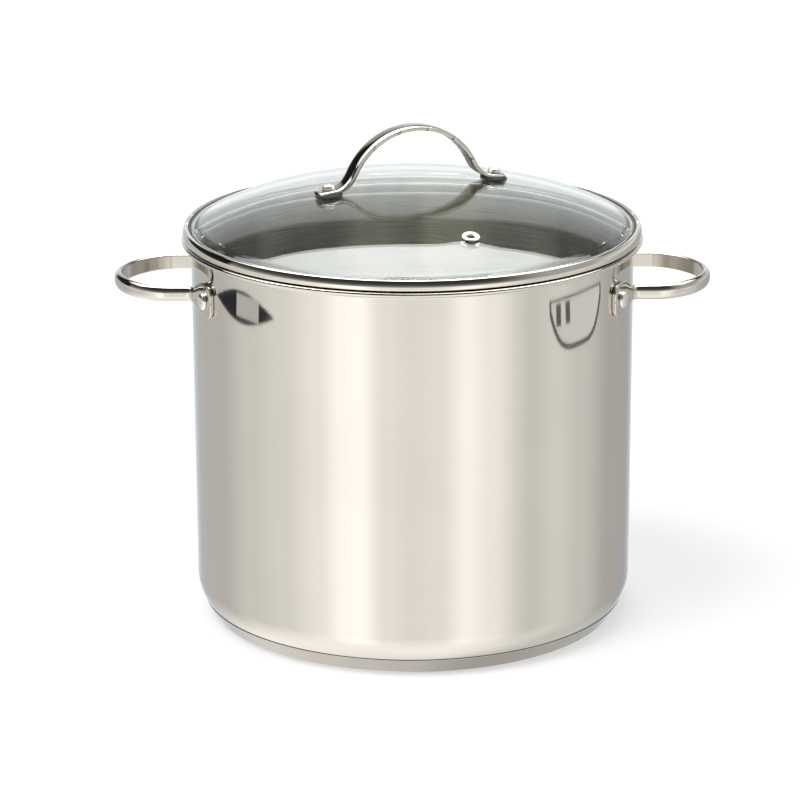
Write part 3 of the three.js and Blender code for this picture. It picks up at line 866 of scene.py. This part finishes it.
for name, side in (("left", -1), ("right", 1)):
    spot = at_rivet(side)
    put(foot_gasket(f"{name}_foot_pad", spot), "lid", "silicone", SILICONE, f"{name}_foot_gasket")
    put(under_gasket(f"{name}_under_pad", spot), "lid", "silicone", SILICONE, f"{name}_under_gasket")
    put(backing_washer(f"{name}_washer", spot), "lid", "satin_steel", RIM, f"{name}_backing_washer")
    rivet = lid_rivet(f"{name}_lid_rivet_head", spot)
    put(rivet, "lid", "polished_steel", RIVET, f"lid_{name}_rivet")


# ---- Studio -----------------------------------------------------------------------------------

scene = bpy.context.scene
scene.view_settings.view_transform = "Standard"


class Value:
    """A number in a node tree that takes part in ordinary arithmetic."""

    def __init__(self, tree, socket):
        self.tree, self.socket = tree, socket

    def op(self, kind, *others):
        node = self.tree.nodes.new("ShaderNodeMath")
        node.operation = kind
        for i, value in enumerate((self, *others)):
            if isinstance(value, Value):
                self.tree.links.new(value.socket, node.inputs[i])
            else:
                node.inputs[i].default_value = value
        return Value(self.tree, node.outputs[0])

    def __add__(self, other):
        return self.op("ADD", other)

    def __sub__(self, other):
        return self.op("SUBTRACT", other)

    def __mul__(self, other):
        return self.op("MULTIPLY", other)

    def __truediv__(self, other):
        return self.op("DIVIDE", other)

    def __abs__(self):
        return self.op("ABSOLUTE")

    def step(self, low, high):
        """Runs smoothly from 0 at low to 1 at high."""
        node = self.tree.nodes.new("ShaderNodeMapRange")
        node.interpolation_type = "SMOOTHSTEP"
        node.inputs["From Min"].default_value = low
        node.inputs["From Max"].default_value = high
        self.tree.links.new(self.socket, node.inputs["Value"])
        return Value(self.tree, node.outputs["Result"])

    def peak(self, centre, half):
        """A narrow bright line at centre that fades out over half."""
        return (abs(self - centre) * -1.0).step(-half, 0.0)

    def curve(self, stops):
        """A smooth curve through (place, level) stops, with levels up to TOP_LEVEL."""
        low, high = stops[0][0], stops[-1][0]
        node = self.tree.nodes.new("ShaderNodeValToRGB")
        node.color_ramp.interpolation = "EASE"
        elements = node.color_ramp.elements
        while len(elements) < len(stops):
            elements.new(0.5)
        for element, (place, level) in zip(elements, stops):
            element.position = (place - low) / (high - low)
            element.color = (level / TOP_LEVEL, level / TOP_LEVEL, level / TOP_LEVEL, 1)
        self.tree.links.new(((self - low) / (high - low)).socket, node.inputs["Fac"])
        return Value(self.tree, node.outputs["Color"]) * TOP_LEVEL


TOP_LEVEL = 4.0

# Brightness of the table by direction, in degrees from the front, and by height below level.
# The levels round it follow grey levels measured along the wall in the photograph.
TABLE_ROUND = [
    (-180, 0.95),
    (-150, 0.60),
    (-120, 0.64),
    (-95, 0.85),
    (-72, 0.97),
    (-50, 1.18),
    (-38, 1.47),
    (-28, 1.53),
    (-15, 1.14),
    (0, 1.06),
    (14, 1.12),
    (28, 1.41),
    (40, 1.24),
    (64, 0.83),
    (80, 0.92),
    (98, 0.80),
    (125, 0.55),
    (150, 0.49),
    (180, 0.95),
]
TABLE_DOWN = [(-90, 0.9), (-50, 1.1), (-32, 1.08), (-22, 1.0), (0, 1.0)]
TABLE_EVEN = 1.2  # close to the pot, where the table is lit much the same all round

# Brightness of the room by direction, and by height up its straight walls. The heights of
# its top edge and of the two bright lines come from fits to the photograph.
ROOM_ROUND = [
    (-180, 1.05),
    (-150, 0.9),
    (-100, 0.7),
    (-70, 0.4),
    (-30, 0.3),
    (0, 0.3),
    (30, 0.35),
    (70, 0.55),
    (100, 0.8),
    (150, 0.9),
    (180, 1.05),
]
ROOM_UP = [(0, 1.1), (10, 0.88), (20, 0.64), (31, 0.5), (32, 0.06), (90, 0.06)]
ROOM_AHEAD = [(0, 0.65), (4, 0.42), (12, 0.16), (20, 0.07), (36, 0.04), (90, 0.04)]  # by height
ROOM_RIGHT = 0.5
# Light from high up in front, which falls inside the pot.
FRONT_GLOW = [(-180, 0), (-60, 0), (-22, 0.3), (5, 0.8), (30, 1.2), (50, 1.0), (64, 0), (180, 0)]
BRIGHT_LINES = [(13.6, 1.5), (18.3, 1.3)]  # height up the back wall, and strength
LINE_HALF = 0.45
COOL, WARM, ROOM_TINT = (0.94, 1.0, 1.07), (1.0, 0.995, 0.985), (0.97, 1.0, 0.995)
DOORWAY = (-149, -101)  # a dark gap in the wall, from one direction to another
DOORWAY_BLUR = 3
DOORWAY_DARK = 0.97
SHADED_DARK = 0.4


def studio_world():
    """Pale walls and table, seen in the steel and the glass. The walls stop short of the top."""
    world = bpy.data.worlds.new("studio")
    scene.world = world
    world.use_nodes = True
    tree = world.node_tree
    tree.nodes.clear()
    parts = tree.nodes.new("ShaderNodeSeparateXYZ")
    coords = tree.nodes.new("ShaderNodeTexCoord")
    tree.links.new(coords.outputs["Generated"], parts.inputs["Vector"])
    x, y, z = (Value(tree, parts.outputs[axis]) for axis in "XYZ")
    turn = x.op("ARCTAN2", y * -1.0).op("DEGREES")
    table_height = z.op("ARCSINE").op("DEGREES")
    wall_height = (z / abs(x).op("MAXIMUM", abs(y))).op("ARCTANGENT").op("DEGREES")
    above = z.op("GREATER_THAN", 0.0)
    below = above * -1.0 + 1.0
    behind = (y / abs(x).op("MAXIMUM", 0.001)).step(1.5, 2.4)
    sideways = abs(turn).step(132, 160)
    (low_line, low_level), (high_line, high_level) = BRIGHT_LINES
    lines = wall_height.peak(low_line, LINE_HALF) * low_level
    lines = lines + wall_height.peak(high_line, LINE_HALF) * high_level
    shaded = turn.step(20, 110) * (table_height * -1.0).step(22, 50)
    close = (table_height * -1.0).step(24, 52)
    round_table = turn.curve(TABLE_ROUND) * (close * -1.0 + 1.0) + close * TABLE_EVEN
    table = round_table * table_height.curve(TABLE_DOWN) * below
    table = table * (shaded * -SHADED_DARK + 1.0)
    start, end = (turn.step(at - DOORWAY_BLUR, at + DOORWAY_BLUR) for at in DOORWAY)
    doorway = start - end
    back = abs(turn).step(95, 115)
    right = turn.step(40, 75)
    ahead = table_height.curve(ROOM_AHEAD) * (right * -1.0 + 1.0) + right * ROOM_RIGHT
    room = turn.curve(ROOM_ROUND) * wall_height.curve(ROOM_UP) * back + ahead * (back * -1.0 + 1.0)
    room = room * above * (doorway * -DOORWAY_DARK + 1.0)
    front = turn.curve(FRONT_GLOW) * table_height.step(62, 68)
    glow = room + lines * behind * above + front
    last = None
    for level, tint in (
        (table * (sideways * -1.0 + 1.0), WARM),
        (table * sideways, COOL),
        (glow, ROOM_TINT),
    ):
        shade = tree.nodes.new("ShaderNodeBackground")
        shade.inputs["Color"].default_value = (*tint, 1)
        tree.links.new(level.socket, shade.inputs["Strength"])
        if last is None:
            last = shade.outputs[0]
            continue
        both = tree.nodes.new("ShaderNodeAddShader")
        tree.links.new(last, both.inputs[0])
        tree.links.new(shade.outputs[0], both.inputs[1])
        last = both.outputs[0]
    out = tree.nodes.new("ShaderNodeOutputWorld")
    tree.links.new(last, out.inputs["Surface"])


def stage_sheet(name, outline, height, color, level):
    """A flat sheet of plain glowing card. The outline is (x, y) points in metres."""
    mesh = bpy.data.meshes.new(name)
    mesh.from_pydata([(x, y, height) for x, y in outline], [], [range(len(outline))])
    sheet = bpy.data.objects.new(name, mesh)
    scene.collection.objects.link(sheet)
    m = Nodes(name, (0, 0, 0), Roughness=1.0, Specular_IOR_Level=0.0)
    m.shader.inputs["Emission Color"].default_value = (*color, 1)
    m.shader.inputs["Emission Strength"].default_value = level
    mesh.materials.append(m.material)
    return sheet, m


def reflected_only(sheet):
    sheet.visible_camera = False
    sheet.visible_diffuse = False
    sheet.visible_shadow = False


def studio_floor():
    half = 30.0
    corners = [(-half, -half), (half, -half), (half, half), (-half, half)]
    floor, m = stage_sheet("floor", corners, 0.0, (1, 1, 1), 0.36)
    m.shader.inputs["Base Color"].default_value = (0.86, 0.86, 0.86, 1)
    floor.visible_glossy = False
    floor.visible_diffuse = False
    floor.visible_shadow = False


def overhead_softbox():
    """A wide softbox above and behind, dimmer towards its ends."""
    height, near, far, half = 2.5, -0.3, 1.93, 3.4
    corners = [(-half, near), (half, near), (half, far), (-half, far)]
    box, m = stage_sheet("overhead_softbox", corners, height, (0.985, 1.0, 0.985), 1.0)
    parts = m.add("ShaderNodeSeparateXYZ")
    m.link(m.coords, parts.inputs["Vector"])
    across = abs(Value(m.tree, parts.outputs["X"]))
    along = Value(m.tree, parts.outputs["Y"])
    level = across.curve([(0.0, 3.9), (0.9, 3.6), (1.5, 2.2), (2.2, 1.45), (half, 1.05)]) * 1.22
    level = level * along.curve([(near, 2.1), (0.5, 1.75), (1.2, 1.3), (far, 1.05)])
    m.link(level.socket, m.shader.inputs["Emission Strength"])
    reflected_only(box)


def lamp(name, energy, degrees, direction):
    """Broad light from far off. Its glare is left out of reflections."""
    light = bpy.data.lights.new(name, "SUN")
    light.energy, light.angle = energy, math.radians(degrees)
    fitting = bpy.data.objects.new(name, light)
    fitting.rotation_euler = Vector(direction).to_track_quat("-Z", "Y").to_euler()
    fitting.visible_glossy = False
    scene.collection.objects.link(fitting)


def reflected_card(name, outline, level, height, color=(1, 1, 1)):
    """A card lying at the side of the table, seen only in reflections."""
    card, _ = stage_sheet(name, outline, height, color, level)
    reflected_only(card)


def curved_sheet(start, end, near, far, steps=24):
    """A sheet's outline on the table, bent round the pot from one direction to another.

    Directions are in degrees from the front. The near and far edges are distances from the pot's
    axis, each a function of how far along the sheet they are, from 0 to 1.
    """
    places = [k / steps for k in range(steps + 1)]
    outline = []
    for edge, order in ((far, places), (near, reversed(places))):
        for t in order:
            angle, distance = math.radians(lerp(start, end, t)), edge(t)
            outline.append((distance * math.sin(angle), -distance * math.cos(angle)))
    return outline


def flat_edge(distance):
    """An edge that keeps one distance all along a sheet."""
    return lambda t: distance


def leaf_edge(middle, half):
    """An edge that bulges by half at a sheet's middle and is back at the middle line at its ends."""
    return lambda t: middle + half * math.sin(math.pi * t)


def dished_edge(middle, rise):
    """An edge that is even along most of a sheet and rises by this much at its ends."""
    return lambda t: middle + rise * abs(2 * t - 1) ** 4


def right_edges(margin):
    """The right board's near and far edges, moved in by a margin."""
    return dished_edge(0.785 + margin, 0.12), flat_edge(0.955 - margin)


def table_cards():
    """Boards, sheets of paper and bars lying on the table, which show in the pot's wall."""
    on_table, on_board, on_paper = 0.001, 0.002, 0.003
    leaf = curved_sheet(-114, -70, leaf_edge(0.9, -0.05), leaf_edge(0.9, 0.055))
    reflected_card("left_board", leaf, 0.03, on_table, (0.9, 1.0, 1.3))
    paper = curved_sheet(-96, -80, flat_edge(0.865), flat_edge(0.94))
    reflected_card("left_paper", paper, 0.62, on_board)
    reflected_card("right_board", curved_sheet(69, 106, *right_edges(0.0)), 0.12, on_table)
    reflected_card("right_paper", curved_sheet(70, 105, *right_edges(0.012)), 0.84, on_board)
    for start in (73, 79):
        bar = curved_sheet(start, start + 3, flat_edge(0.86), flat_edge(0.93), 2)
        reflected_card(f"right_bar_{start}", bar, 0.15, on_paper)


def studio_camera():
    """Stands where the photograph was taken from. The place and tilt come from fits to it."""
    place = (-0.0082, -2.0442, 0.7650)
    data = bpy.data.cameras.new("camera")
    data.lens, data.sensor_width = 149.85, 36.0
    data.clip_start, data.clip_end = 0.05, 100.0
    camera = bpy.data.objects.new("camera", data)
    pitch, roll = math.radians(17.10), math.radians(0.253)
    forward = Vector((0, math.cos(pitch), -math.sin(pitch)))
    level_up = Vector((0, math.sin(pitch), math.cos(pitch)))
    side = Vector((1, 0, 0))
    right = side * math.cos(roll) - level_up * math.sin(roll)
    up = level_up * math.cos(roll) + side * math.sin(roll)
    camera.matrix_world = Matrix(
        (
            (right.x, up.x, -forward.x, place[0]),
            (right.y, up.y, -forward.y, place[1]),
            (right.z, up.z, -forward.z, place[2]),
            (0, 0, 0, 1),
        )
    )
    scene.collection.objects.link(camera)
    scene.camera = camera


studio_floor()
studio_world()
overhead_softbox()
lamp("key", 1.25, 32, (0.46, 0.26, -1.0))
lamp("fill", 1.15, 160, (0, 0, -1))
table_cards()
studio_camera()
